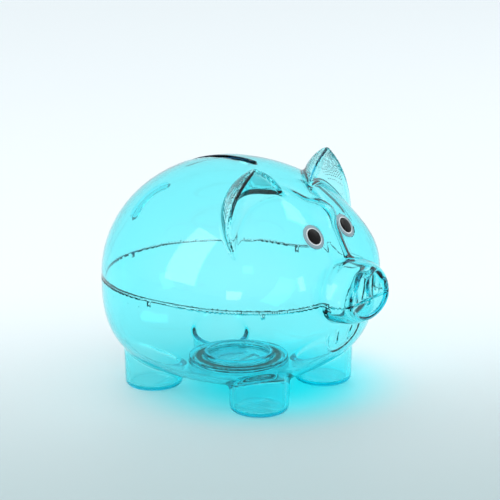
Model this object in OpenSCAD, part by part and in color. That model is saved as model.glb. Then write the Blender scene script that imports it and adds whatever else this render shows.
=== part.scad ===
// Clear two-part piggy bank: an upper and a lower moulded shell, a belly plug and stick-on eyes.
// The pig faces -Y, +X is its left side, and it stands on the floor at z = 0.

/* [Body] */
// Greatest width of the body, at the seam
body_w = 99; // [84:1:120]
// Length of the body behind its widest place
rear_len = 50.5; // [44:0.5:62]
// Length of the body in front of its widest place, to the face
face_len = 54; // [46:0.5:66]
// Height of the back above the seam
dome_h = 46; // [38:0.5:56]
// Depth of the belly below the seam
belly_h = 38; // [32:0.5:46]
// Wall thickness of both shells
wall = 1.6; // [1.3:0.1:2.2]
// Y position of the widest place
body_y = 7; // [5:0.5:9]

/* [Seam] */
// Height of the lip that stands inside the seam
lip_h = 0.8; // [1:0.1:2]
// Gap between the lip and the upper shell, and round each tooth
lip_clear = 0.1; // [0.05:0.01:0.2]
// Width of a locating tooth
tooth_w = 1.4; // [1:0.1:2]
// Height of a locating tooth
tooth_h = 1.7; // [1:0.1:2.2]

/* [Snout] */
// Greatest width of the snout
snout_w = 34; // [29:0.5:40]
// Height of the snout above the seam
snout_up = 14.6; // [12:0.2:17]
// Depth of the snout below the seam
snout_down = 9.4; // [8:0.2:11]
// How far the snout's face stands in front of the body's face
snout_out = 10.5; // [9:0.5:13]
// Depth of the dish in the snout's face
dish_depth = 1.2; // [0.6:0.1:1.6]
// Depth of a nostril below the dish
nostril_depth = 1.8; // [1:0.1:2.4]

/* [Ears] */
// Distance between the two ear tips
ear_tip_gap = 46.8; // [42:0.4:52]
// Height of the ear tips above the back
ear_tip_rise = 3.6; // [2:0.2:6]
// Depth of the hollow in the front of an ear
ear_cup = 3; // [2:0.2:4]
// How far the back of an ear bulges behind its rim
ear_bulge = 11.5; // [8:0.5:12]

/* [Feet] */
// Diameter of a foot at the floor
foot_d = 22.4; // [19:0.2:26]
// Distance between the middles of a left and a right foot
foot_gap = 43.2; // [40:0.2:48]
// Distance between the middles of a front and a rear foot
foot_pitch = 50.6; // [46:0.2:56]
// Clear height of the belly above the floor
belly_clear = 5.6; // [5:0.1:8]
// Radius of the rounded edge under a foot
foot_round = 2; // [1:0.2:3]

/* [Coin slot] */
// Length of the coin slot
slot_len = 33; // [28:0.5:38]
// Width of the coin slot
slot_w = 4.4; // [3.4:0.1:5.2]

/* [Belly plug] */
// Diameter of the hole in the belly
plug_hole_d = 28; // [24:0.5:33.5]
// Gap between the plug's bead and the hole, on the radius
plug_clear = 0.1; // [0.05:0.01:0.2]
// How far the flange reaches past the hole, on the radius
plug_flange = 3; // [2:0.2:4]
// Thickness of the plug's flange
plug_flange_t = 1.8; // [1.4:0.1:2.2]
// How far the belly's flat plate is set up into the belly
plate_inset = 3.4; // [3:0.1:4.5]

/* [Eyes] */
// Diameter of an eye's backing disc
eye_d = 9.8; // [8:0.1:12]
// Diameter of a pupil
pupil_d = 6.2; // [4:0.1:7.5]
// Distance between the middles of the eyes
eye_gap = 21.2; // [18:0.2:26]
// Height of the eyes above the seam
eye_rise = 23.6; // [20:0.2:28]
// Thickness of the backing disc
eye_t = 0.5; // [0.4:0.1:0.8]

/* [Hidden] */

// How square the curves of the skin are, where 2 is an ellipse
rear_square = 2;
face_square = 2.6;
dome_square = 2;
belly_square = 2.9;
// Steps of the skin round the body, from the seam to the pole, and round the snout
skin_round = 64;
skin_rise = 13;
snout_steps = 20;
// A cut passes this far beyond the surface that it opens
over = 1;

half_w = body_w / 2;
seam_z = belly_clear + belly_h;
face_y = body_y - face_len;
snout_face_y = face_y - snout_out;
back_z = seam_z + dome_h;
foot_y = body_y - 4;
plug_y = foot_y;
plate_z = belly_clear + plate_inset;
recess_d = plug_hole_d + 2 * plug_flange + 2;
slot_y = body_y + 4.6;
eye_seat = 0.3;

function spow(v, p) = sign(v) * pow(abs(v), p);
function mix(a, b, t) = a + (b - a) * t;

// ---- The body's skin ----

// A point of the skin at angle a round the body and angle t from the seam to the pole, above the seam
// for up = 1 and below it for up = -1, set in by d
function skin(a, t, up, d) =
    let (m = up > 0 ? dome_square : belly_square,
         h = up > 0 ? dome_h : belly_h,
         n = sin(a) < 0 ? face_square : rear_square,
         len = sin(a) < 0 ? face_len : rear_len,
         r = pow(cos(t), 2 / m))
    [(half_w - d) * r * spow(cos(a), 2 / n),
     body_y + (len - d) * r * spow(sin(a), 2 / n),
     seam_z + up * (h - d) * pow(sin(t), 2 / m)];

// How much of the plan is left at height z, from 1 at the seam to 0 at the pole
function plan_at(z) =
    z > seam_z ? pow(1 - pow((z - seam_z) / dome_h, dome_square), 1 / dome_square)
               : pow(1 - pow((seam_z - z) / belly_h, belly_square), 1 / belly_square);

// Y of the face's skin at x and z
function face_at(x, z) =
    let (p = pow(plan_at(z), face_square) - pow(abs(x) / half_w, face_square))
    body_y - face_len * pow(p, 1 / face_square);

// Outward direction of the face's skin above the seam, at x and z
function face_normal(x, z) =
    let (d = 0.01,
         sx = (face_at(x + d, z) - face_at(x - d, z)) / (2 * d),
         sz = (face_at(x, z + d) - face_at(x, z - d)) / (2 * d),
         n = [sx, -1, sz])
    n / norm(n);

// A face with its corners in the order for above the seam, or the other way round for below it
function turned(face, up) = up > 0 ? face : [for (i = [len(face) - 1 : -1 : 0]) face[i]];

// Each ring is turned half a step from the last, so that the skin is of triangles that don't share a plane
module half_body(up, d) {
    rings = [for (j = [0 : skin_rise - 1], i = [0 : skin_round - 1])
        skin(360 * (i + j % 2 / 2) / skin_round, 90 * j / skin_rise, up, d)];
    pole = [0, body_y, seam_z + up * ((up > 0 ? dome_h : belly_h) - d)];
    last = skin_rise * skin_round;
    top = last - skin_round;
    sides = [for (j = [0 : skin_rise - 2], i = [0 : skin_round - 1])
        let (k = (i + 1) % skin_round, a = j * skin_round, b = a + skin_round)
        each j % 2 == 0 ? [turned([a + i, b + i, a + k], up), turned([b + i, b + k, a + k], up)]
                        : [turned([a + i, b + i, b + k], up), turned([a + i, b + k, a + k], up)]];
    cap = [for (i = [0 : skin_round - 1]) turned([top + i, last, top + (i + 1) % skin_round], up)];
    seam_face = turned([for (i = [0 : skin_round - 1]) i], up);
    polyhedron(concat(rings, [pole]), concat(sides, cap, [seam_face]));
}

// Puts its children on the face's skin at x and z, with their Z axis outward
module on_face(x, z) {
    n = face_normal(x, z);
    translate([x, face_at(x, z), z]) rotate([0, acos(n.z), atan2(n.y, n.x)]) children();
}

// ---- The snout ----

// Its sections from the face inwards: [distance behind the snout's face, share of the full size]
snout_profile = [[0, 0.68], [0.3, 0.76], [1.2, 0.84], [2.6, 0.91], [5, 0.965], [9, 1], [12, 0.95],
                 [20, 0.88]];

// How much squarer the snout gets with each mm behind its face
snout_square = 0.015;

// The half of the snout above or below the seam, as a closed solid, with its sides set in by d and its
// front by front
module half_snout(up, d, front) {
    n = snout_steps;
    sections = concat([[front, snout_profile[0][1]]], [for (s = snout_profile) if (s[0] > front) s]);
    last = len(sections) - 1;
    h = up > 0 ? snout_up : snout_down;
    points = [for (s = sections, i = [0 : n])
        let (power = 2 / (2 + snout_square * s[0]))
        [(snout_w / 2 * s[1] - d) * spow(cos(180 * i / n), power), snout_face_y + s[0],
         seam_z + up * (h * s[1] - d) * spow(sin(180 * i / n), power)]];
    w = n + 1;
    sides = [for (j = [0 : last - 1], i = [0 : n - 1])
        [j * w + i, j * w + i + 1, (j + 1) * w + i + 1, (j + 1) * w + i]];
    front_face = [for (i = [n : -1 : 0]) i];
    back = [for (i = [0 : n]) last * w + i];
    seam_face = [for (j = [0 : last - 1]) [j * w + n, j * w, (j + 1) * w, (j + 1) * w + n]];
    polyhedron(points, [for (f = concat(sides, [front_face, back], seam_face)) turned(f, up)]);
}

nostril_x = 4.2;
nostril_rise = 5.2;
nostril_w = 5.4;
nostril_h = 8.6;

// The dish in the snout's face, and the two hollows in it
module nostrils() {
    share = snout_profile[0][1] - 0.06;
    translate([0, snout_face_y, seam_z + (snout_up - snout_down) * share / 2]) rotate([90, 0, 0])
        scale([snout_w * share, (snout_up + snout_down) * share, 1])
            cylinder(h = 2 * dish_depth, r = 0.5, center = true, $fn = 32);
    for (side = [-1, 1])
        translate([side * nostril_x, snout_face_y, seam_z + nostril_rise])
            scale([nostril_w / 2, dish_depth + nostril_depth, nostril_h / 2]) sphere(1, $fn = 20);
}

// The cups that close the nostrils behind the face
module nostril_cups() {
    for (side = [-1, 1])
        translate([side * nostril_x, snout_face_y + dish_depth + 0.5, seam_z + nostril_rise])
            rotate([-90, 0, 0]) scale([nostril_w / 2 + 0.8, nostril_h / 2 + 0.8, 1])
                cylinder(h = nostril_depth + wall - 0.5, r1 = 1, r2 = 0.75, $fn = 24);
}

// ---- The face ----

// The raised bridge from the forehead to the snout: [set in from the face, height above the seam, radius]
bridge_line = [[2.1, 27.9, 6], [3.2, 23.4, 5.5], [2.6, 18.9, 4.6], [1.3, 14.4, 4.2]];

module bridge() {
    for (i = [0 : len(bridge_line) - 2]) hull() for (p = [bridge_line[i], bridge_line[i + 1]])
        bridge_ball(p);
    hull() {
        bridge_ball(bridge_line[0]);
        for (side = [-1, 1])
            translate([side * 6, body_y - 27, seam_z + 33]) sphere(5, $fn = 20);
    }
}

module bridge_ball(p) {
    translate([0, face_at(0, seam_z + p.y) + p.x, seam_z + p.y]) sphere(p.z, $fn = 20);
}

cheek_x = 26;
cheek_rise = 9;
cheek_r = 21;
cheek_proud = 1.9;

module cheeks() {
    for (side = [-1, 1])
        on_face(side * cheek_x, seam_z + cheek_rise)
            translate([0, 0, cheek_proud - cheek_r]) sphere(cheek_r, $fn = 48);
}

// The smile, and the two short lines in it
mouth_w = 21;
mouth_top = -13.4;
mouth_drop = 8.2;
mouth_steps = 10;
groove_r = 0.8;

function mouth_point(a) = [mouth_w / 2 * cos(a), mouth_top + mouth_drop * sin(a)];

module groove(p, q) {
    hull() for (c = [p, q])
        translate([c.x, face_at(c.x, seam_z + c.y) - groove_r / 3, seam_z + c.y]) sphere(groove_r, $fn = 8);
}

module mouth() {
    for (i = [0 : mouth_steps - 1])
        groove(mouth_point(180 + 180 * i / mouth_steps), mouth_point(180 + 180 * (i + 1) / mouth_steps));
    for (side = [-1, 1]) groove([side * 4.6, mouth_top + 0.4], [side * 3.8, mouth_top - 4]);
}

// ---- The ears ----

// The left ear's rim, from its base on the forehead over the tip to its base on the cheek
ear_inner = [7.5, -31.2, 36.6];
ear_outer = [39.3, -30.5, 19.6];
ear_tip = [ear_tip_gap / 2, -29.5, dome_h + ear_tip_rise];
ear_inner_pull = [12, -30.5, 45];
ear_outer_pull = [45, -26, 36];
ear_rows = 9;
ear_cols = 10;

function bend(a, b, c, t) = (1 - t) * (1 - t) * a + 2 * t * (1 - t) * b + t * t * c;

// A point of the ear, s of the way from the base to the tip and t of the way from its inner to its outer
// rim, on its hollow front for side = -1 or its bulged back for side = 1, set in by d
function ear_point(s, t, side, d) =
    let (inner = bend(ear_inner, ear_inner_pull, ear_tip, s),
         outer = bend(ear_outer, ear_outer_pull, ear_tip, s),
         shrink = max(0.02, 1 - 2 * d / max(norm(outer - inner), 0.1)),
         u = 0.5 + (t - 0.5) * shrink,
         p = mix(inner, outer, u),
         swell = sin(180 * u) * pow(sin(90 * min(1, (1 - s) * 1.25)), 0.8),
         front = ear_cup * swell - wall / 2,
         back = ear_bulge * swell + wall / 2,
         half = max(0.1, (back - front) / 2 - 0.75 * d))
    [p.x, body_y + p.y + (front + back) / 2 + side * half, seam_z + p.z];

// The rows of an ear start a little inside the head, and end at its tip or, for its pocket, below it
function ear_row(i, d) = mix(-0.14, 1 - d / 18, i / ear_rows);

// One ear, or the pocket in it for d > 0
module ear(d) {
    rows = ear_rows;
    cols = ear_cols;
    points = concat(
        [for (side = [-1, 1], s = [0 : rows - 1], t = [0 : cols])
            ear_point(ear_row(s, d), t / cols, side, d)],
        [ear_point(ear_row(rows, d), 0.5, 0, d)]);
    w = cols + 1;
    b = rows * w;
    tip = 2 * b;
    quads = [for (s = [0 : rows - 2], t = [0 : cols - 1]) each [
        [s * w + t, (s + 1) * w + t, (s + 1) * w + t + 1, s * w + t + 1],
        [b + s * w + t, b + s * w + t + 1, b + (s + 1) * w + t + 1, b + (s + 1) * w + t]]];
    edges = [for (s = [0 : rows - 2]) each [
        [s * w, b + s * w, b + (s + 1) * w, (s + 1) * w],
        [s * w + cols, (s + 1) * w + cols, b + (s + 1) * w + cols, b + s * w + cols]]];
    r = (rows - 1) * w;
    tips = [for (t = [0 : cols - 1]) each [[r + t, tip, r + t + 1], [b + r + t, b + r + t + 1, tip]]];
    ends = [[r, b + r, tip], [r + cols, tip, b + r + cols]];
    base = [for (t = [0 : cols - 1]) [t, t + 1, b + t + 1, b + t]];
    polyhedron(points, concat(quads, edges, tips, ends, base));
}

// ---- The tail ----

// A quarter of a curl that lies on the rump
tail_r = 2.4;
tail_curl = 11.3;
tail_steps = 6;

// A point of the curl at angle a, on the skin of the rump
function tail_point(a) =
    let (x = 9 + tail_curl * cos(a), z = 17.4 + tail_curl * sin(a),
         p = pow(plan_at(seam_z + z), 2) - pow(x / half_w, 2))
    [x, body_y + rear_len * sqrt(p), seam_z + z];

module tail() {
    for (i = [0 : tail_steps - 1]) hull() for (k = [i, i + 1])
        translate(tail_point(180 - 85 * k / tail_steps) + [0, tail_r * 0.4, tail_r * 0.4])
            sphere(tail_r, $fn = 14);
}

// ---- The seam ----

// The plan of both shells at the seam
module seam_outline() {
    polygon([for (i = [0 : skin_round - 1])
        let (p = skin(360 * i / skin_round, 0, 1, 0)) [p.x, p.y]]);
    right = [for (s = snout_profile) [snout_w / 2 * s[1], snout_face_y + s[0]]];
    left = [for (i = [len(right) - 1 : -1 : 0]) [-right[i].x, right[i].y]];
    polygon(concat(right, left));
}

// The places of the locating teeth round the seam, and the way each faces
tooth_places = [
    [0, body_y + rear_len, 0], [half_w, body_y + 0.8, 90], [-half_w, body_y + 0.8, 90],
    [37.3, face_at(37.3, seam_z), 45], [-37.3, face_at(37.3, seam_z), -45],
    [snout_w / 2 - 0.2, snout_face_y + 8, 90], [-snout_w / 2 + 0.2, snout_face_y + 8, 90]];

// The teeth for d = 0, which stand in the outer half of the wall, or their notches, wider by d all round
module teeth(d) {
    skin_gap = d > 0 ? -over : 0.2;
    intersection() {
        translate([0, 0, seam_z - tooth_h - d]) linear_extrude(tooth_h + d + lip_h / 2) difference() {
            offset(delta = -skin_gap) seam_outline();
            offset(delta = -wall / 2 + 0.1 - d) seam_outline();
        }
        for (p = tooth_places)
            translate([p.x, p.y, seam_z]) rotate([0, 0, p[2]])
                cube([tooth_w + 2 * d, 4 * wall, 3 * (tooth_h + d)], center = true);
    }
    translate([-tooth_w / 2 - d, snout_face_y + dish_depth + skin_gap, seam_z - tooth_h - d])
        cube([tooth_w + 2 * d, wall / 2 - 0.1 + d - skin_gap, tooth_h + d + lip_h / 2]);
}

// How far the lip stands inside the wall
lip_inset = 0.3;

// The plan of the lip's outer side, set in by d; the lip leaves out the snout's face
module lip_outline(d) {
    difference() {
        offset(delta = -d) seam_outline();
        translate([-snout_w / 2 - over, snout_face_y - over]) square([snout_w + 2 * over, over + 7 + d]);
    }
}

// ---- The feet ----

module foot(d) {
    h = seam_z * 0.6;
    r = foot_d / 2 - d;
    e = max(foot_round - d, 0.4);
    translate([0, 0, d]) rotate_extrude($fn = 40) polygon(concat(
        [[0, 0]],
        [for (a = [-90 : 30 : 0]) [r - e + e * cos(a), e + e * sin(a)]],
        [[r + 0.6, h], [0, h]]));
}

module feet(d) {
    for (x = [-1, 1], y = [-1, 1])
        translate([x * foot_gap / 2, foot_y + y * foot_pitch / 2, 0]) foot(d);
}

// ---- The pieces ----

module eye_seats() {
    for (side = [-1, 1])
        on_face(side * eye_gap / 2, seam_z + eye_rise)
            translate([0, 0, -eye_seat]) cylinder(h = over, d = eye_d + 0.3, $fn = 48);
}

module coin_slot() {
    translate([0, slot_y, back_z - 3 * wall - 4]) linear_extrude(3 * wall + 4 + over) hull()
        for (end = [-1, 1]) translate([0, end * (slot_len - slot_w) / 2]) circle(d = slot_w, $fn = 24);
}

module upper_shell() {
    color("turquoise") difference() {
        union() {
            difference() {
                union() {
                    half_body(1, 0);
                    half_snout(1, 0, 0);
                    bridge();
                    cheeks();
                    tail();
                    for (side = [0, 1]) mirror([side, 0, 0]) ear(0);
                }
                translate([0, 0, -0.01]) half_body(1, wall);
                translate([0, 0, -0.01]) half_snout(1, wall, wall + dish_depth);
                for (side = [0, 1]) mirror([side, 0, 0]) ear(wall);
                translate([0, 0, seam_z - 0.02]) linear_extrude(lip_h + lip_clear) lip_outline(wall / 2);
                translate([0, 0, seam_z - half_w]) cube([2 * body_w, 3 * body_w, 2 * half_w], center = true);
            }
            nostril_cups();
            teeth(0);
        }
        nostrils();
        eye_seats();
        coin_slot();
    }
}

module lower_shell() {
    color("turquoise") difference() {
        union() {
            difference() {
                union() {
                    half_body(-1, 0);
                    half_snout(-1, 0, 0);
                    feet(0);
                }
                translate([0, 0, 0.01]) half_body(-1, wall);
                translate([0, 0, 0.01]) half_snout(-1, wall, wall + dish_depth);
                feet(wall);
                nostrils();
                mouth();
            }
            translate([0, 0, seam_z - 2 * wall]) linear_extrude(2 * wall + lip_h) difference() {
                lip_outline(wall / 2 + lip_clear);
                offset(delta = -wall - lip_inset) seam_outline();
            }
            translate([0, plug_y, belly_clear + wall]) cylinder(h = plate_inset, d = recess_d + 2 * wall,
                                                              $fn = 64);
        }
        translate([0, plug_y, -over]) cylinder(h = plate_z + over, d = recess_d, $fn = 64);
        translate([0, plug_y, 0]) cylinder(h = seam_z / 2, d = plug_hole_d, $fn = 64);
        teeth(lip_clear);
    }
}

module belly_plug() {
    neck_r = plug_hole_d / 2 - plug_clear;
    flange_r = plug_hole_d / 2 + plug_flange;
    top = wall + 1.6;
    color("deepskyblue") translate([0, plug_y, plate_z]) difference() {
        rotate_extrude($fn = 96) polygon([
            [0, -plug_flange_t], [flange_r - 0.5, -plug_flange_t], [flange_r, -plug_flange_t + 0.5],
            [flange_r, -0.3], [flange_r - 0.3, 0], [neck_r - 0.2, 0], [neck_r - 0.2, wall + 0.2],
            [neck_r, wall + 0.6], [neck_r, wall + 1], [neck_r - 0.6, top],
            [neck_r - wall, top], [neck_r - wall, 0.2], [0, 0.2]]);
        translate([0, 0, -plug_flange_t]) finger_holds();
    }
}

// Two shallow hollows under the plug leave a bar between them to pull it by
module finger_holds() {
    bar = 3;
    depth = plug_flange_t - 0.6;
    difference() {
        translate([0, 0, -over]) cylinder(h = depth + over, d = plug_hole_d * 0.6, $fn = 64);
        translate([-body_w / 2, -bar / 2, -2 * over]) cube([body_w, bar, depth + 4 * over]);
    }
}

module eye_disc(side) {
    color("lightgray") on_face(side * eye_gap / 2, seam_z + eye_rise)
        translate([0, 0, -eye_seat]) cylinder(h = eye_t, d = eye_d, $fn = 64);
}

module pupil(side) {
    color("black") on_face(side * eye_gap / 2, seam_z + eye_rise)
        translate([0, 0, eye_t - eye_seat]) rotate_extrude($fn = 64) polygon([
            [0, 0], [pupil_d / 2, 0], [pupil_d / 2, 0.2], [pupil_d / 2 - 0.4, 0.45], [0, 0.6]]);
}

upper_shell();
lower_shell();
belly_plug();
eye_disc(-1);  // right_eye_disc
eye_disc(1);  // left_eye_disc
pupil(-1);  // right_pupil
pupil(1);  // left_pupil
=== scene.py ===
"""The looks of a clear turquoise piggy bank: two moulded shells, a belly plug and stick-on eyes.

Each shell is meshed from one smooth form, given as a distance to its surface. The wall follows the form, the
seam cuts it, and the slot, lip, teeth and hollows are cut from it or added to it. Lengths in the form are in
millimetres, in the frame of the CAD parts: the pig faces -Y, +X is its left side, and z = 0 is the floor.
"""

import math

import bpy
import numpy as np
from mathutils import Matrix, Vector


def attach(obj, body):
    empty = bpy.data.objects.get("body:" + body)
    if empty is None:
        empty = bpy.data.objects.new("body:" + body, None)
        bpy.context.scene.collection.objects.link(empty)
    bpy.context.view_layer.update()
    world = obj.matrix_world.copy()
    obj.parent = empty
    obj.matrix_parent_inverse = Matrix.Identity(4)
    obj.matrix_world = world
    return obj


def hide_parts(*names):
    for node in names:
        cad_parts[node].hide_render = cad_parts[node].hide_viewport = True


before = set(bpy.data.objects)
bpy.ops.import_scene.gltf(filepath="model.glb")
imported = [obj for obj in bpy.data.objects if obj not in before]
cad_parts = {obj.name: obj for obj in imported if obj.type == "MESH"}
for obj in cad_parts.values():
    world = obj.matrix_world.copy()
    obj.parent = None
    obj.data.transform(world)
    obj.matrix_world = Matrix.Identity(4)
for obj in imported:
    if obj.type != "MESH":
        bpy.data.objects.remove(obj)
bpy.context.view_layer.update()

MM = 0.001
CELL = 0.6  # the grid that the shells are meshed on

# ---- Sizes ----

# Body
WALL = 1.6
BODY_Y = 7.0
SEAM = 43.6
HALF_W = 49.5
REAR_LEN, FACE_LEN = 50.5, 54.0
DOME_H, BELLY_H = 46.0, 38.0
REAR_SQUARE, FACE_SQUARE = 2.0, 2.6
DOME_SQUARE, BELLY_SQUARE = 2.0, 2.9

# Seam
LIP_H, LIP_CLEAR, LIP_INSET, LIP_ROUND = 0.8, 0.1, 0.1, 0.3
LIP_FRONT = 8.0  # how far behind the snout's face the lip starts
TOOTH_W, TOOTH_H, TOOTH_ROOT = 1.4, 1.6, 0.8
TOOTH_SINK = 0.15  # how far under the skin a tooth's outer face is
TOOTH_IN = 0.1  # how far short of the wall's middle its inner face is

# Snout
SNOUT_Y = -57.5
SNOUT_HALF_W, SNOUT_UP, SNOUT_DOWN = 17.0, 14.6, 9.4
SNOUT_FLAT, SNOUT_ROUND, SNOUT_ROOT, SNOUT_TAPER = 0.68, 9.0, 20.0, 0.011
DISH_DEPTH, DISH_SHARE, DISH_SLOPE, DISH_SOFT = 1.2, 0.56, 12, 0.45
NOSTRIL_X, NOSTRIL_RISE, NOSTRIL_W, NOSTRIL_H, NOSTRIL_DEPTH = 4.2, 5.2, 5.4, 8.6, 1.8

# Face: each ball of the bridge is set in from the skin, at a height above the seam, with a radius
BRIDGE = [(2.1, 27.9, 6.0), (3.2, 23.4, 5.5), (2.6, 18.9, 4.6), (1.3, 14.4, 4.2)]
BROW_X, BROW_Y, BROW_Z, BROW_R = 6.0, BODY_Y - 27.0, SEAM + 33.0, 5.0
CHEEK_X, CHEEK_RISE, CHEEK_R, CHEEK_PROUD = 26.0, 9.0, 21.0, 1.9
EYE_X, EYE_Z, EYE_R, EYE_SEAT, EYE_CLEAR = 10.6, SEAM + 23.6, 4.9, 0.3, 0.15
EYE_T, EYE_BEVEL, EYE_WHITE_R, EYE_WHITE_EDGE = 0.2, 0.25, 3.5, 0.1
PUPIL_R, PUPIL_SIDE, PUPIL_DOME = 3.1, 0.18, 0.42

# Mouth: an arc, and one short mark on each side inside it
MOUTH_HALF_W, MOUTH_Z, MOUTH_DROP, MOUTH_STEPS = 10.5, SEAM - 13.4, 8.2, 12
MARK_TOP, MARK_FOOT = (4.6, MOUTH_Z + 0.4), (3.8, MOUTH_Z - 4)
GROOVE_W, GROOVE_DEPTH = 0.55, 0.26

# Ears: the left ear's rim from its two roots to its tip, each side pulled out to a curve
EAR_INNER, EAR_OUTER = np.array([7.5, -24.2, 80.2]), np.array([39.3, -23.5, 63.2])
EAR_TIP = np.array([23.4, -22.5, 93.2])
EAR_INNER_PULL, EAR_OUTER_PULL = np.array([12, -23.5, 88.6]), np.array([45, -19, 79.6])
EAR_CUP, EAR_BULGE = 3.0, 11.5
EAR_ROW = 26  # the ear's height over its roots, about
EAR_ROOT, EAR_LOWEST = -0.16, -0.35  # the ear ends inside the head, and rows are looked for down to here
EAR_TOP = 0.995
EAR_FULL, EAR_FULL_CURVE = 1.25, 0.8  # how soon below its tip the ear is at its thickest
EAR_THINNING, EAR_TIP_THINNING = 0.75, 1.2  # how much of a hollow's wall is taken at the faces and the tip
EAR_LEAST_W, EAR_STEEP_W = 0.05, 8
EAR_ROUND, EAR_HOLLOW_ROUND = 2.2, 1.2

# Tail: a curl that starts straight to the side and lies half in the rear
TAIL_R, TAIL_THINNING, TAIL_CURL, TAIL_X, TAIL_RISE = 2.4, 0.05, 11.3, 9.0, 17.4
TAIL_START, TAIL_TURN, TAIL_STEPS, TAIL_PROUD = 180, 85, 12, 0.4

# Feet, slot and belly hole
FOOT_R, FOOT_FLARE, FOOT_X, FOOT_Y, FOOT_PITCH, FOOT_ROUND, FOOT_TOP = 11.2, 0.6, 21.6, 3.0, 50.6, 2.0, 26.0
SLOT_Y, SLOT_LEN, SLOT_W, SLOT_LOW, SLOT_ROUND = 11.6, 33.0, 4.4, 70, 0.25
PLATE_Z, RECESS_R, HOLE_R, HOLE_ROUND = 9.0, 18.0, 14.0, 0.2

# Fillets where one form meets the next
SNOUT_FILLET, BROW_FILLET, BRIDGE_FILLET, CHEEK_FILLET, FOOT_FILLET = 1.6, 2.0, 3.0, 4.0, 1.6
RECESS_FILLET, DISH_FILLET, EAR_FILLET, TAIL_FILLET = 0.5, 3.0, 1.4, 1.2
EAR_HOLLOW_FILLET, NOSTRIL_FILLET, NOSTRIL_INNER_FILLET = 0.6, 2.2, 1.4

FAR = 99.0  # a distance that anything is nearer than


# ---- Distances, each for an array of points, negative inside ----


def joined(a, b, k):
    """Both, with a fillet about k wide where they meet."""
    h = np.clip(0.5 + 0.5 * (b - a) / k, 0, 1)
    return b + (a - b) * h - k * h * (1 - h)


def cut(a, b, k):
    """What is left of a outside b, with the edge softened over k."""
    return -joined(-a, b, k)


def mirrored(p):
    """The points folded onto the pig's left side."""
    q = p.copy()
    q[:, 0] = np.abs(q[:, 0])
    return q


def ball(p, middle, r):
    return np.linalg.norm(p - middle, axis=1) - r


def column(p, x, y, r):
    return np.hypot(p[:, 0] - x, p[:, 1] - y) - r


def line_gap(p, a, b):
    """How far points are from the line between a and b, and how far along it they are, from 0 to 1."""
    a, b = np.asarray(a, float), np.asarray(b, float)
    t = np.clip((p - a) @ (b - a) / ((b - a) @ (b - a)), 0, 1)
    return np.linalg.norm(p - a - t[:, None] * (b - a), axis=1), t


def rod(p, a, b, ra, rb):
    """A round-ended rod from a to b, whose radius goes from ra to rb."""
    gap, t = line_gap(p, a, b)
    return gap - (ra + (rb - ra) * t)


def body(p):
    """Four quarters of a rounded egg: face and rear in plan, dome and belly in height."""
    x, y, z = np.abs(p[:, 0]), p[:, 1] - BODY_Y, p[:, 2] - SEAM
    n = np.where(y < 0, FACE_SQUARE, REAR_SQUARE)
    length = np.where(y < 0, FACE_LEN, REAR_LEN)
    m = np.where(z > 0, DOME_SQUARE, BELLY_SQUARE)
    height = np.where(z > 0, DOME_H, BELLY_H)
    u, v, w = x / HALF_W, np.abs(y) / length, np.abs(z) / height
    plan = np.maximum(u**n + v**n, 1e-9)
    q = np.maximum((plan ** (m / n) + w**m) ** (1 / m), 1e-3)
    dq = q ** (1 - m)
    dplan = dq * plan ** (m / n - 1)
    slope = np.sqrt(
        (dplan * u ** (n - 1) / HALF_W) ** 2
        + (dplan * v ** (n - 1) / length) ** 2
        + (dq * w ** (m - 1) / height) ** 2
    )
    return (q - 1) / np.maximum(slope, 1e-4)


def face_y(x, z):
    """Y of the face's skin above the seam."""
    plan = (1 - ((z - SEAM) / DOME_H) ** DOME_SQUARE) ** (1 / DOME_SQUARE)
    return BODY_Y - FACE_LEN * (plan**FACE_SQUARE - abs(x / HALF_W) ** FACE_SQUARE) ** (1 / FACE_SQUARE)


def on_face(x, z):
    """A point of the face's skin and the way out of it there."""
    d = 0.01
    dx = (face_y(x + d, z) - face_y(x - d, z)) / (2 * d)
    dz = (face_y(x, z + d) - face_y(x, z - d)) / (2 * d)
    n = np.array([dx, -1, dz])
    return np.array([x, face_y(x, z), z]), n / np.linalg.norm(n)


def snout_ring(p):
    """How far out in the snout's oval section a point is, with 1 at its greatest outline."""
    z = p[:, 2] - SEAM
    return np.hypot(p[:, 0] / SNOUT_HALF_W, z / np.where(z > 0, SNOUT_UP, SNOUT_DOWN))


def snout(p):
    depth = p[:, 1] - SNOUT_Y
    z = p[:, 2] - SEAM
    h = np.where(z > 0, SNOUT_UP, SNOUT_DOWN)
    ring = np.maximum(snout_ring(p), 1e-6)
    ring_slope = np.hypot(p[:, 0] / SNOUT_HALF_W**2, z / h**2) / ring
    taper = SNOUT_TAPER * np.clip(depth - SNOUT_ROUND, 0, None)
    out = np.clip((ring + taper - SNOUT_FLAT) / (1 - SNOUT_FLAT), 0, None)
    front = np.clip((SNOUT_ROUND - depth) / SNOUT_ROUND, 0, None)
    g = np.hypot(out, front)
    slope = np.hypot(out * ring_slope / (1 - SNOUT_FLAT), front / SNOUT_ROUND) / np.maximum(g, 1e-6)
    return np.maximum((g - 1) / np.maximum(slope, 0.03), depth - SNOUT_ROOT)


def nostril(p):
    half = np.array([NOSTRIL_W / 2, DISH_DEPTH + NOSTRIL_DEPTH, NOSTRIL_H / 2])
    q = (mirrored(p) - np.array([NOSTRIL_X, SNOUT_Y, SEAM + NOSTRIL_RISE])) / half
    size = np.maximum(np.linalg.norm(q, axis=1), 1e-6)
    slope = np.linalg.norm(q / half, axis=1) / size
    return (size - 1) / np.maximum(slope, 0.1)


def bridge(p):
    balls = [(np.array([0, face_y(0, SEAM + rise) + inset, SEAM + rise]), r) for inset, rise, r in BRIDGE]
    f = np.full(len(p), FAR)
    for (a, ra), (b, rb) in zip(balls, balls[1:]):
        f = np.minimum(f, rod(p, a, b, ra, rb))
    top, top_r = balls[0]
    for side in (-1, 1):
        f = joined(f, rod(p, top, (side * BROW_X, BROW_Y, BROW_Z), top_r, BROW_R), BROW_FILLET)
    return f


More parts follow.
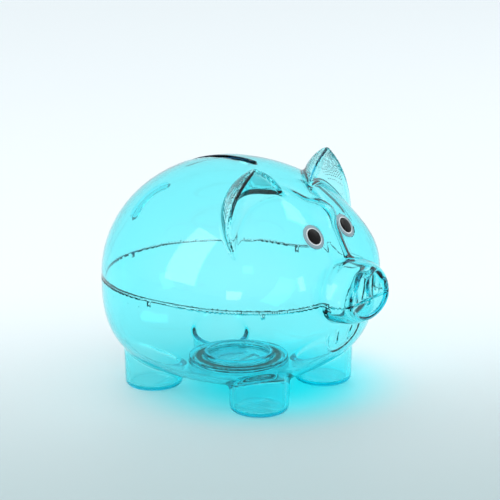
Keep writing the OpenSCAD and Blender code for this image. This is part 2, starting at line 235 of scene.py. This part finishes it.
def cheek(p):
    point, out = on_face(CHEEK_X, SEAM + CHEEK_RISE)
    return ball(mirrored(p), point + out * (CHEEK_PROUD - CHEEK_R), CHEEK_R)


def foot(p):
    q = mirrored(p)
    y = np.abs(q[:, 1] - FOOT_Y) - FOOT_PITCH / 2
    r = np.hypot(q[:, 0] - FOOT_X, y) - FOOT_R - FOOT_FLARE * q[:, 2] / FOOT_TOP + FOOT_ROUND
    under = FOOT_ROUND - q[:, 2]
    f = np.hypot(np.maximum(r, 0), np.maximum(under, 0)) + np.minimum(np.maximum(r, under), 0) - FOOT_ROUND
    return np.maximum(f, q[:, 2] - FOOT_TOP)


def bend(a, b, c, t):
    """A curve from a to c, pulled to b."""
    t = np.asarray(t)[:, None]
    return (1 - t) ** 2 * a + 2 * t * (1 - t) * b + t**2 * c


def ear_row(s):
    """The inner and the outer end of the left ear's row at s, from 0 at the roots to 1 at the tip."""
    return bend(EAR_INNER, EAR_INNER_PULL, EAR_TIP, s), bend(EAR_OUTER, EAR_OUTER_PULL, EAR_TIP, s)


def ear_place(p):
    """Which row of the left ear a point is on, how far across it, how wide the row is and its own Y there."""
    low, high = np.full(len(p), EAR_LOWEST), np.ones(len(p))
    for _ in range(28):
        s = (low + high) / 2
        a, b = ear_row(s)
        above = (b[:, 0] - a[:, 0]) * (p[:, 2] - a[:, 2]) - (b[:, 2] - a[:, 2]) * (p[:, 0] - a[:, 0]) > 0
        low, high = np.where(above, s, low), np.where(above, high, s)
    a, b = ear_row(s)
    across = b - a
    width = np.maximum(np.hypot(across[:, 0], across[:, 2]), EAR_LEAST_W)
    u = ((p[:, 0] - a[:, 0]) * across[:, 0] + (p[:, 2] - a[:, 2]) * across[:, 2]) / width**2
    return s, u, width, a[:, 1] + u.clip(0, 1) * across[:, 1]


def left_ear(p, d):
    s, u, width, middle = ear_place(p)
    inside = u.clip(0, 1)
    swell = np.sin(np.pi * inside) * np.sin(np.pi / 2 * np.clip((1 - s) * EAR_FULL, 0, 1)) ** EAR_FULL_CURVE
    front = middle + EAR_CUP * swell - WALL / 2 + EAR_THINNING * d
    back = middle + EAR_BULGE * swell + WALL / 2 - EAR_THINNING * d
    steep = np.hypot(1, EAR_BULGE * np.pi * np.abs(np.cos(np.pi * inside)) / np.maximum(width, EAR_STEEP_W))
    sides = (np.abs(u - 0.5) - 0.5) * width + d
    to_tip = np.hypot(p[:, 0] - EAR_TIP[0], p[:, 2] - EAR_TIP[2])
    top = np.where(s > EAR_TOP, to_tip, (s - 1) * EAR_ROW) + EAR_TIP_THINNING * d
    edge = np.maximum(np.maximum(sides, top), (EAR_ROOT - s) * EAR_ROW)
    thick = np.maximum(front - p[:, 1], (p[:, 1] - back) / steep)
    return -joined(-edge, -thick, EAR_ROUND if d == 0 else EAR_HOLLOW_ROUND)


def ears(p, d):
    """The ears, or the hollows in them for d > 0. Far from them, just a long way off."""
    out = np.full(len(p), 20.0)
    near = (p[:, 2] > 52) & (p[:, 1] > -46) & (p[:, 1] < 2) & (np.abs(p[:, 0]) < 52)
    if near.any():
        out[near] = left_ear(mirrored(p[near]), d)
    return out


def tail_point(angle):
    x, z = TAIL_X + TAIL_CURL * math.cos(angle), TAIL_RISE + TAIL_CURL * math.sin(angle)
    plan = (1 - (z / DOME_H) ** 2) - (x / HALF_W) ** 2
    lift = TAIL_PROUD * TAIL_R
    return np.array([x, BODY_Y + REAR_LEN * math.sqrt(plan) + lift, SEAM + z + lift])


def tail(p):
    turns = [math.radians(TAIL_START - TAIL_TURN * k / TAIL_STEPS) for k in range(TAIL_STEPS + 1)]
    points = [tail_point(angle) for angle in turns]
    f = np.full(len(p), FAR)
    for k, (a, b) in enumerate(zip(points, points[1:])):
        f = np.minimum(f, rod(p, a, b, TAIL_R - TAIL_THINNING * k, TAIL_R - TAIL_THINNING * (k + 1)))
    return f


def grooves(p):
    """How far the smile's grooves set the skin in."""
    near = (p[:, 1] < -30) & (p[:, 2] < SEAM - 8) & (np.abs(p[:, 0]) < 14)
    depth = np.zeros(len(p))
    if not near.any():
        return depth
    q = mirrored(p[near])[:, [0, 2]]
    angles = np.linspace(0, math.pi / 2, MOUTH_STEPS + 1)
    arc = [(MOUTH_HALF_W * math.cos(a), MOUTH_Z - MOUTH_DROP * math.sin(a)) for a in angles]
    gap = np.full(len(q), FAR)
    for a, b in [*zip(arc, arc[1:]), (MARK_TOP, MARK_FOOT)]:
        gap = np.minimum(gap, line_gap(q, a, b)[0])
    depth[near] = GROOVE_DEPTH * np.exp(-((gap / GROOVE_W) ** 2))
    return depth


def form(p):
    """The outer form that the wall follows, without the ears and the tail."""
    f = joined(body(p), snout(p), SNOUT_FILLET)
    f = joined(f, bridge(p), BRIDGE_FILLET)
    f = joined(f, cheek(p), CHEEK_FILLET)
    f = joined(f, foot(p), FOOT_FILLET)
    recess = np.maximum(column(p, 0, FOOT_Y, RECESS_R), p[:, 2] - PLATE_Z)
    f = cut(f, recess, RECESS_FILLET)
    dish = np.maximum((snout_ring(p) - DISH_SHARE) * DISH_SLOPE, p[:, 1] - SNOUT_Y - DISH_SOFT * DISH_DEPTH)
    return cut(f, dish, DISH_FILLET)


def eye_seats(p):
    point, out = on_face(EYE_X, EYE_Z)
    q = mirrored(p) - point
    along = q @ out
    across = np.linalg.norm(q - along[:, None] * out, axis=1)
    return np.maximum(np.maximum(across - EYE_R - EYE_CLEAR, -EYE_SEAT - along), along - 3)


def lip_limit(p):
    """The lip leaves out the snout's face."""
    return SNOUT_Y + LIP_FRONT - p[:, 1]


# Where the teeth stand: x, y and the turn of the wall there
TEETH = [
    (0, BODY_Y + REAR_LEN, 0),
    (HALF_W, BODY_Y + 0.8, 90),
    (37.3, face_y(37.3, SEAM), 45),
    (SNOUT_HALF_W - 0.2, SNOUT_Y + LIP_FRONT, 90),
]


def teeth(p, f, gap):
    """The locating teeth in the outer half of the wall, or the notches for them with a gap all round."""
    q = mirrored(p)
    out = np.full(len(p), FAR)
    for x, y, turn in TEETH:
        c, s = math.cos(math.radians(turn)), math.sin(math.radians(turn))
        along = (q[:, 0] - x) * c + (q[:, 1] - y) * s
        off = -(q[:, 0] - x) * s + (q[:, 1] - y) * c
        out = np.minimum(out, np.maximum(np.abs(along) - TOOTH_W / 2 - gap, np.abs(off) - 3 * WALL))
    outer = f + TOOTH_SINK if gap == 0 else f - 1
    out = np.maximum(out, np.maximum(outer, -(f + WALL / 2 - TOOTH_IN + gap)))
    # The tooth behind the snout's dish
    front = SNOUT_Y + DISH_DEPTH
    face = np.maximum(q[:, 0] - TOOTH_W / 2 - gap, p[:, 1] - front - WALL / 2 + TOOTH_IN - gap)
    face = np.maximum(face, front + (0.2 if gap == 0 else -1) - p[:, 1])
    out = np.minimum(out, face)
    return np.maximum(np.maximum(out, SEAM - TOOTH_H - gap - p[:, 2]), p[:, 2] - SEAM - TOOTH_ROOT)


def upper_shell(p):
    f = form(p)
    skin = joined(joined(f, ears(p, 0), EAR_FILLET), tail(p), TAIL_FILLET)
    hollow = joined(f + WALL, ears(p, WALL), EAR_HOLLOW_FILLET)
    hole = nostril(p)
    hollow = cut(hollow, hole - WALL, NOSTRIL_INNER_FILLET)
    skin = cut(skin, hole, NOSTRIL_FILLET)
    g = np.maximum(skin, -hollow)
    slot_end = (SLOT_LEN - SLOT_W) / 2
    slot_front, slot_rear = (0, SLOT_Y - slot_end, 0), (0, SLOT_Y + slot_end, 0)
    slot = rod(p * np.array([1, 1, 0]), slot_front, slot_rear, SLOT_W / 2, SLOT_W / 2)
    g = cut(g, np.maximum(slot, SLOT_LOW - p[:, 2]), SLOT_ROUND)
    pocket = np.maximum(np.maximum(f + WALL / 2, p[:, 2] - SEAM - LIP_H - LIP_CLEAR), lip_limit(p))
    g = np.maximum(np.maximum(g, -pocket), SEAM - p[:, 2])
    g = np.maximum(g, -eye_seats(p))
    return np.minimum(g, teeth(p, f, 0))


def lower_shell(p):
    f = form(p)
    g = np.maximum(f + grooves(p), -(f + WALL))
    g = cut(g, column(p, 0, FOOT_Y, HOLE_R), HOLE_ROUND)
    g = np.maximum(g, p[:, 2] - SEAM)
    lip = np.maximum(f + WALL / 2 + LIP_CLEAR, -(f + WALL + LIP_INSET))
    lip = cut(np.maximum(lip, SEAM - 2 * WALL - p[:, 2]), SEAM + LIP_H - p[:, 2], LIP_ROUND)
    g = np.minimum(g, np.maximum(lip, lip_limit(p)))
    return np.maximum(g, -teeth(p, f, LIP_CLEAR))


# ---- Meshing ----


def slopes(distance, p):
    """The way in which the distance grows, at each point."""
    d = 0.01
    out = np.empty_like(p)
    for k in range(3):
        step = np.zeros(3)
        step[k] = d
        out[:, k] = (distance(p + step) - distance(p - step)) / (2 * d)
    return out


def sampled(distance, low, shape):
    """The distance on a grid, worked out finely only near the surface and by blocks elsewhere."""
    block = 4

    def spread(values):
        fine = values.repeat(block, 0).repeat(block, 1).repeat(block, 2)
        return fine[: shape[0], : shape[1], : shape[2]]

    coarse = [n // block + 1 for n in shape]
    centres = np.stack(np.meshgrid(*[np.arange(n) for n in coarse], indexing="ij"), -1).reshape(-1, 3)
    centres = low + (centres * block + (block - 1) / 2) * CELL
    rough = np.concatenate([distance(part) for part in np.array_split(centres, 8)]).reshape(coarse)
    f = spread(rough).copy()
    places = np.argwhere(spread(np.abs(rough) < block * CELL * 1.7))
    for part in np.array_split(places, 24):
        f[tuple(part.T)] = distance(low + part * CELL)
    return f


def crossed_cells(f):
    """The grid's cells that the surface crosses, and the middle of its crossings in each, in cells."""
    corners = [np.array([i, j, k]) for i in (0, 1) for j in (0, 1) for k in (0, 1)]
    inside = (f < 0).astype(np.int8)
    n = [s - 1 for s in f.shape]
    count = sum(inside[i: i + n[0], j: j + n[1], k: k + n[2]] for i, j, k in corners)
    cells = np.argwhere((count > 0) & (count < len(corners)))
    total, crossings = np.zeros((len(cells), 3)), np.zeros(len(cells))
    for a in corners:
        for axis in np.flatnonzero(a == 0):
            b = a.copy()
            b[axis] = 1
            fa, fb = f[tuple((cells + a).T)], f[tuple((cells + b).T)]
            crossed = (fa < 0) != (fb < 0)
            t = np.where(crossed, fa / np.where(crossed, fa - fb, 1), 0)
            total += np.where(crossed[:, None], a + t[:, None] * (b - a), 0)
            crossings += crossed
    return cells, cells + total / crossings[:, None]


def quads_around(f, cells):
    """A quad across each edge of the grid that the surface crosses, from the cells around it."""
    inside = f < 0
    n = [s - 1 for s in f.shape]
    number = np.full(n, -1)
    number[tuple(cells.T)] = np.arange(len(cells))
    quads = []
    for axis in range(3):
        u, w = np.eye(3, dtype=int)[(axis + 1) % 3], np.eye(3, dtype=int)[(axis + 2) % 3]
        before, after = np.moveaxis(inside, axis, 0)[:-1], np.moveaxis(inside, axis, 0)[1:]
        edges = np.argwhere(np.moveaxis(before != after, 0, axis))
        across = [k for k in range(3) if k != axis]
        edges = edges[np.all([(edges[:, k] > 0) & (edges[:, k] < n[k]) for k in across], axis=0)]
        quad = np.stack([number[tuple((edges - step).T)] for step in (0 * u, u, u + w, w)], 1)
        outward = inside[tuple(edges.T)]
        quads.append(np.where(outward[:, None], quad, quad[:, ::-1]))
    return np.concatenate(quads)


def surface(distance, low, high):
    """The surface as points, quads and normals: one point in each cell that it crosses, moved onto it."""
    low = np.asarray(low, float)
    shape = np.ceil((np.asarray(high) - low) / CELL).astype(int) + 1
    f = sampled(distance, low, shape)
    cells, places = crossed_cells(f)
    points = low + places * CELL
    for _ in range(5):
        g = slopes(distance, points)
        step = distance(points)[:, None] * g / np.maximum((g**2).sum(1), 0.04)[:, None]
        length = np.linalg.norm(step, axis=1, keepdims=True)
        points -= step * np.minimum(1, 0.4 * CELL / np.maximum(length, 1e-9))
    return points, quads_around(f, cells), slopes(distance, points)


def shown(name, points, faces, materials):
    """A smooth mesh in the scene, from points in millimetres."""
    mesh = bpy.data.meshes.new(name)
    mesh.from_pydata((np.asarray(points) * MM).tolist(), [], faces)
    mesh.polygons.foreach_set("use_smooth", [True] * len(mesh.polygons))
    for material in materials:
        mesh.materials.append(material)
    obj = bpy.data.objects.new(name, mesh)
    bpy.context.scene.collection.objects.link(obj)
    return obj


def moulded(name, distance, material, z_low, z_high):
    """A shell meshed between two heights, with the form's own normals."""
    margin = 2.1
    low, high = (-HALF_W - margin, SNOUT_Y - margin, z_low), (HALF_W + margin, -SNOUT_Y + margin, z_high)
    points, quads, normals = surface(distance, low, high)
    shell = shown(name, points, quads.tolist(), [material])
    normals = normals / np.maximum(np.linalg.norm(normals, axis=1, keepdims=True), 1e-9)
    shell.data.normals_split_custom_set_from_vertices(normals.tolist())
    return shell


def turned(name, profile, point, out, steps, materials, bands):
    """A turned piece: profile is (radius, height) along its axis, bands a material's number for each band."""
    side = np.cross(out, (0, 0, 1.0))
    side /= np.linalg.norm(side)
    up = np.cross(side, out)
    angles = [2 * math.pi * k / steps for k in range(steps)]
    spokes = [math.cos(a) * side + math.sin(a) * up for a in angles]
    points = [point + out * h + r * spoke for r, h in profile for spoke in spokes]
    faces, numbers = [], []
    for j, band in enumerate(bands):
        for k in range(steps):
            n = (k + 1) % steps
            faces.append((j * steps + k, j * steps + n, (j + 1) * steps + n, (j + 1) * steps + k))
            numbers.append(band)
    faces.append(tuple(range(steps))[::-1])
    faces.append(tuple((len(profile) - 1) * steps + k for k in range(steps)))
    obj = shown(name, points, faces, materials)
    obj.data.polygons.foreach_set("material_index", [*numbers, bands[0], bands[-1]])
    obj.data.update()
    obj.data.set_sharp_from_angle(angle=math.radians(40))
    return obj


# ---- Materials ----

PLASTIC_IOR = 1.4  # lower than such plastic really has, chosen for how it looks


def node_material(name):
    material = bpy.data.materials.new(name)
    material.use_nodes = True
    tree = material.node_tree
    return material, tree, tree.nodes["Principled BSDF"]


def set_sockets(node, values):
    for socket, value in values.items():
        node.inputs[socket].default_value = value


def new_node(tree, kind, values, **settings):
    node = tree.nodes.new("ShaderNode" + kind)
    for setting, value in settings.items():
        setattr(node, setting, value)
    set_sockets(node, values)
    return node


def clear_plastic(name, tint, density, roughness):
    """Clear tinted plastic: its depth of colour comes from how far light goes in it."""
    material, tree, shader = node_material(name)
    looks = {"Base Color": (1, 1, 1, 1), "Roughness": roughness, "IOR": PLASTIC_IOR, "Transmission Weight": 1}
    set_sockets(shader, looks)
    absorb = new_node(tree, "VolumeAbsorption", {"Color": (*tint, 1), "Density": density})
    tree.links.new(absorb.outputs["Volume"], tree.nodes["Material Output"].inputs["Volume"])
    # The moulding's skin is a little uneven
    place = new_node(tree, "TexCoord", {})
    ripple = new_node(tree, "TexNoise", {"Scale": 22, "Detail": 1})
    bump = new_node(tree, "Bump", {"Strength": 0.12, "Distance": 0.0012})
    tree.links.new(place.outputs["Object"], ripple.inputs["Vector"])
    tree.links.new(ripple.outputs["Fac"], bump.inputs["Height"])
    tree.links.new(bump.outputs["Normal"], shader.inputs["Normal"])
    return material


def plain_plastic(name, colour, roughness, gloss=0.3):
    """Opaque plastic whose gloss varies finely."""
    material, tree, shader = node_material(name)
    set_sockets(shader, {"Base Color": (*colour, 1), "Specular IOR Level": gloss})
    place = new_node(tree, "TexCoord", {})
    noise = new_node(tree, "TexNoise", {"Scale": 900})
    vary = new_node(tree, "MapRange", {"To Min": 0.85 * roughness, "To Max": 1.2 * roughness})
    tree.links.new(place.outputs["Object"], noise.inputs["Vector"])
    tree.links.new(noise.outputs["Fac"], vary.inputs["Value"])
    tree.links.new(vary.outputs["Result"], shader.inputs["Roughness"])
    return material


turquoise = clear_plastic("clear turquoise", (0.0, 0.95, 0.985), 405, 0.02)
plug_plastic = clear_plastic("clear plug", (0.0, 0.9, 0.97), 300, 0.12)
grey = plain_plastic("eye grey", (0.27, 0.38, 0.42), 0.4)
white = plain_plastic("eye white", (0.8, 0.82, 0.84), 0.3)
black = plain_plastic("pupil black", (0.003, 0.002, 0.002), 0.25, gloss=0.12)

# ---- The pieces ----


def stands_for(obj, node, body_name):
    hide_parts(node)
    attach(obj, body_name)


# The grid's levels stand half a cell off the seam, so that its flat faces come out flat
UPPER_LOW, UPPER_HIGH = SEAM - 4.5 * CELL, 95.6
LOWER_LOW, LOWER_HIGH = SEAM - 75.5 * CELL, SEAM + 4.5 * CELL

upper = moulded("upper_shell_skin", upper_shell, turquoise, UPPER_LOW, UPPER_HIGH)
stands_for(upper, "upper_shell", "upper_half")
lower = moulded("lower_shell_skin", lower_shell, turquoise, LOWER_LOW, LOWER_HIGH)
stands_for(lower, "lower_shell", "lower_half")

# The eye's grey backing has a bevelled edge, and its white middle shows as a ring round the pupil
BACKING = [
    (EYE_R - 0.1, -EYE_SEAT),
    (EYE_R, -EYE_SEAT + 0.1),
    (EYE_R, 0.0),
    (EYE_R - EYE_BEVEL, EYE_T - 0.03),
    (EYE_WHITE_R + EYE_WHITE_EDGE, EYE_T),
    (EYE_WHITE_R, EYE_T),
    (PUPIL_R + 0.1, EYE_T),
    (0.3, EYE_T),
]
BACKING_BANDS = [0, 0, 0, 0, 1, 1, 1]
DOME_ANGLES = np.linspace(0.2, 1.5, 8)
DOME = [(PUPIL_R, EYE_T), (PUPIL_R, EYE_T + PUPIL_SIDE)]
DOME += [(PUPIL_R * math.cos(a), EYE_T + PUPIL_SIDE + PUPIL_DOME * math.sin(a)) for a in DOME_ANGLES]

for side, word in ((-1, "right"), (1, "left")):
    point, out = [v * (side, 1, 1) for v in on_face(EYE_X, EYE_Z)]
    backing = turned(word + "_eye_backing", BACKING, point, out, 72, [grey, white], BACKING_BANDS)
    stands_for(backing, word + "_eye_disc", "upper_half")
    pupil = turned(word + "_pupil_dome", DOME, point, out, 64, [black], [0] * (len(DOME) - 1))
    stands_for(pupil, word + "_pupil", "upper_half")

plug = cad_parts["belly_plug"]
plug.data.materials.clear()
plug.data.materials.append(plug_plastic)

# The clear pieces cast no shadow. Their cyan shadow is painted on the floor in its place.
for clear_piece in (upper, lower, plug):
    clear_piece.visible_shadow = False

# ---- The camera ----


def direction(azimuth, elevation):
    """The way from the pig to something at an azimuth from its front and an elevation, in degrees."""
    a, e = math.radians(azimuth), math.radians(elevation)
    return Vector((math.sin(a) * math.cos(e), -math.cos(a) * math.cos(e), math.sin(e)))


def placed(name, data, aim, way, distance):
    """A camera or light that looks at a point from a way off."""
    obj = bpy.data.objects.new(name, data)
    obj.location = aim + distance * way
    obj.rotation_euler = way.to_track_quat("Z", "Y").to_euler()
    bpy.context.scene.collection.objects.link(obj)
    return obj


CAMERA_AIM, CAMERA_DISTANCE = Vector((0.0010, -0.0017, 0.0538)), 0.69
camera_way = direction(-54.237, 15.211)
lens = bpy.data.cameras.new("camera")
lens.lens, lens.sensor_width = 128.9, 36
bpy.context.scene.camera = placed("camera", lens, CAMERA_AIM, camera_way, CAMERA_DISTANCE)

# ---- The floor and the light ----

FLOOR_REACH = 8.0
# Painted shade: the floor's colour is darker on the camera's side and paler away from it
FLOOR_NEAR_PAINTED_SHADE, FLOOR_FAR = (0.47, 0.565, 0.57, 1), (0.92, 0.94, 0.95, 1)
PAINTED_SHADE_FROM, PAINTED_SHADE_TO = -0.16, 0.14  # where the painted shade fades out, away from the camera's side
# A painted cyan shadow under the pig, for the light coloured by the clear pieces
PAINTED_SHADOW_COLOUR = (0.01, 0.87, 0.95, 1)
PAINTED_SHADOW_MIDDLE, PAINTED_SHADOW_INNER_R, PAINTED_SHADOW_OUTER_R = (0.006, -0.006, 0), 0.008, 0.068


def floor_with_painted_light():
    """Grey-blue with painted shade that lightens away from the camera's side, and a painted cyan shadow under
    the pig.

    The painted shadow stands for coloured light that comes down through the clear pieces; it doesn't move
    with them.
    """
    material, tree, shader = node_material("floor")
    set_sockets(shader, {"Roughness": 0.55, "Specular IOR Level": 0.2})
    place = new_node(tree, "TexCoord", {})
    # Painted shade, darkening the floor towards the camera's side
    away = new_node(tree, "VectorMath", {1: (-camera_way.x, -camera_way.y, 0)}, operation="DOT_PRODUCT")
    painted_shade_range = {"From Min": PAINTED_SHADE_FROM, "From Max": PAINTED_SHADE_TO}
    spread = new_node(tree, "MapRange", painted_shade_range, interpolation_type="SMOOTHSTEP")
    painted_shade_gradient = new_node(tree, "Mix", {"A": FLOOR_NEAR_PAINTED_SHADE, "B": FLOOR_FAR}, data_type="RGBA")
    # The painted cyan shadow, fading out from under the pig
    middle = new_node(tree, "VectorMath", {1: PAINTED_SHADOW_MIDDLE}, operation="DISTANCE")
    shade_range = {"From Min": PAINTED_SHADOW_INNER_R, "From Max": PAINTED_SHADOW_OUTER_R, "To Min": 1, "To Max": 0}
    shade = new_node(tree, "MapRange", shade_range, interpolation_type="SMOOTHERSTEP")
    with_painted_shadow = new_node(tree, "Mix", {"B": PAINTED_SHADOW_COLOUR}, data_type="RGBA")
    for source, socket, target, into in (
        (place, "Object", away, 0),
        (away, "Value", spread, "Value"),
        (spread, "Result", painted_shade_gradient, "Factor"),
        (place, "Object", middle, 0),
        (middle, "Value", shade, "Value"),
        (shade, "Result", with_painted_shadow, "Factor"),
        (painted_shade_gradient, "Result", with_painted_shadow, "A"),
        (with_painted_shadow, "Result", shader, "Base Color"),
    ):
        tree.links.new(source.outputs[socket], target.inputs[into])
    return material


floor_mesh = bpy.data.meshes.new("floor")
floor_corners = [(x * FLOOR_REACH, y * FLOOR_REACH, 0) for x, y in ((-1, -1), (1, -1), (1, 1), (-1, 1))]
floor_mesh.from_pydata(floor_corners, [], [(0, 1, 2, 3)])
floor_mesh.materials.append(floor_with_painted_light())
floor = bpy.data.objects.new("floor", floor_mesh)
bpy.context.scene.collection.objects.link(floor)

world = bpy.data.worlds.new("world")
world.use_nodes = True
set_sockets(world.node_tree.nodes["Background"], {"Color": (0.9, 0.97, 1, 1), "Strength": 0.95})
bpy.context.scene.world = world
bpy.context.scene.view_settings.view_transform = "Standard"

# Windows that show as reflections in the plastic: azimuth, elevation, distance, width, height and power
WINDOWS = {
    "window": (-114, 30, 1.2, 0.42, 1.1, 4.6),
    "near window": (-73, -1, 1.3, 0.2, 0.36, 0.9),
    "far window": (10, 8, 1.3, 0.26, 0.5, 1.3),
    "brow window": (66, 40, 1.3, 0.4, 0.6, 1.6),
}
for name, (azimuth, elevation, distance, width, height, power) in WINDOWS.items():
    light = bpy.data.lights.new(name, "AREA")
    light.shape, light.size, light.size_y, light.energy = "RECTANGLE", width, height, power
    placed(name, light, Vector((0, 0, 0.05)), direction(azimuth, elevation), distance)
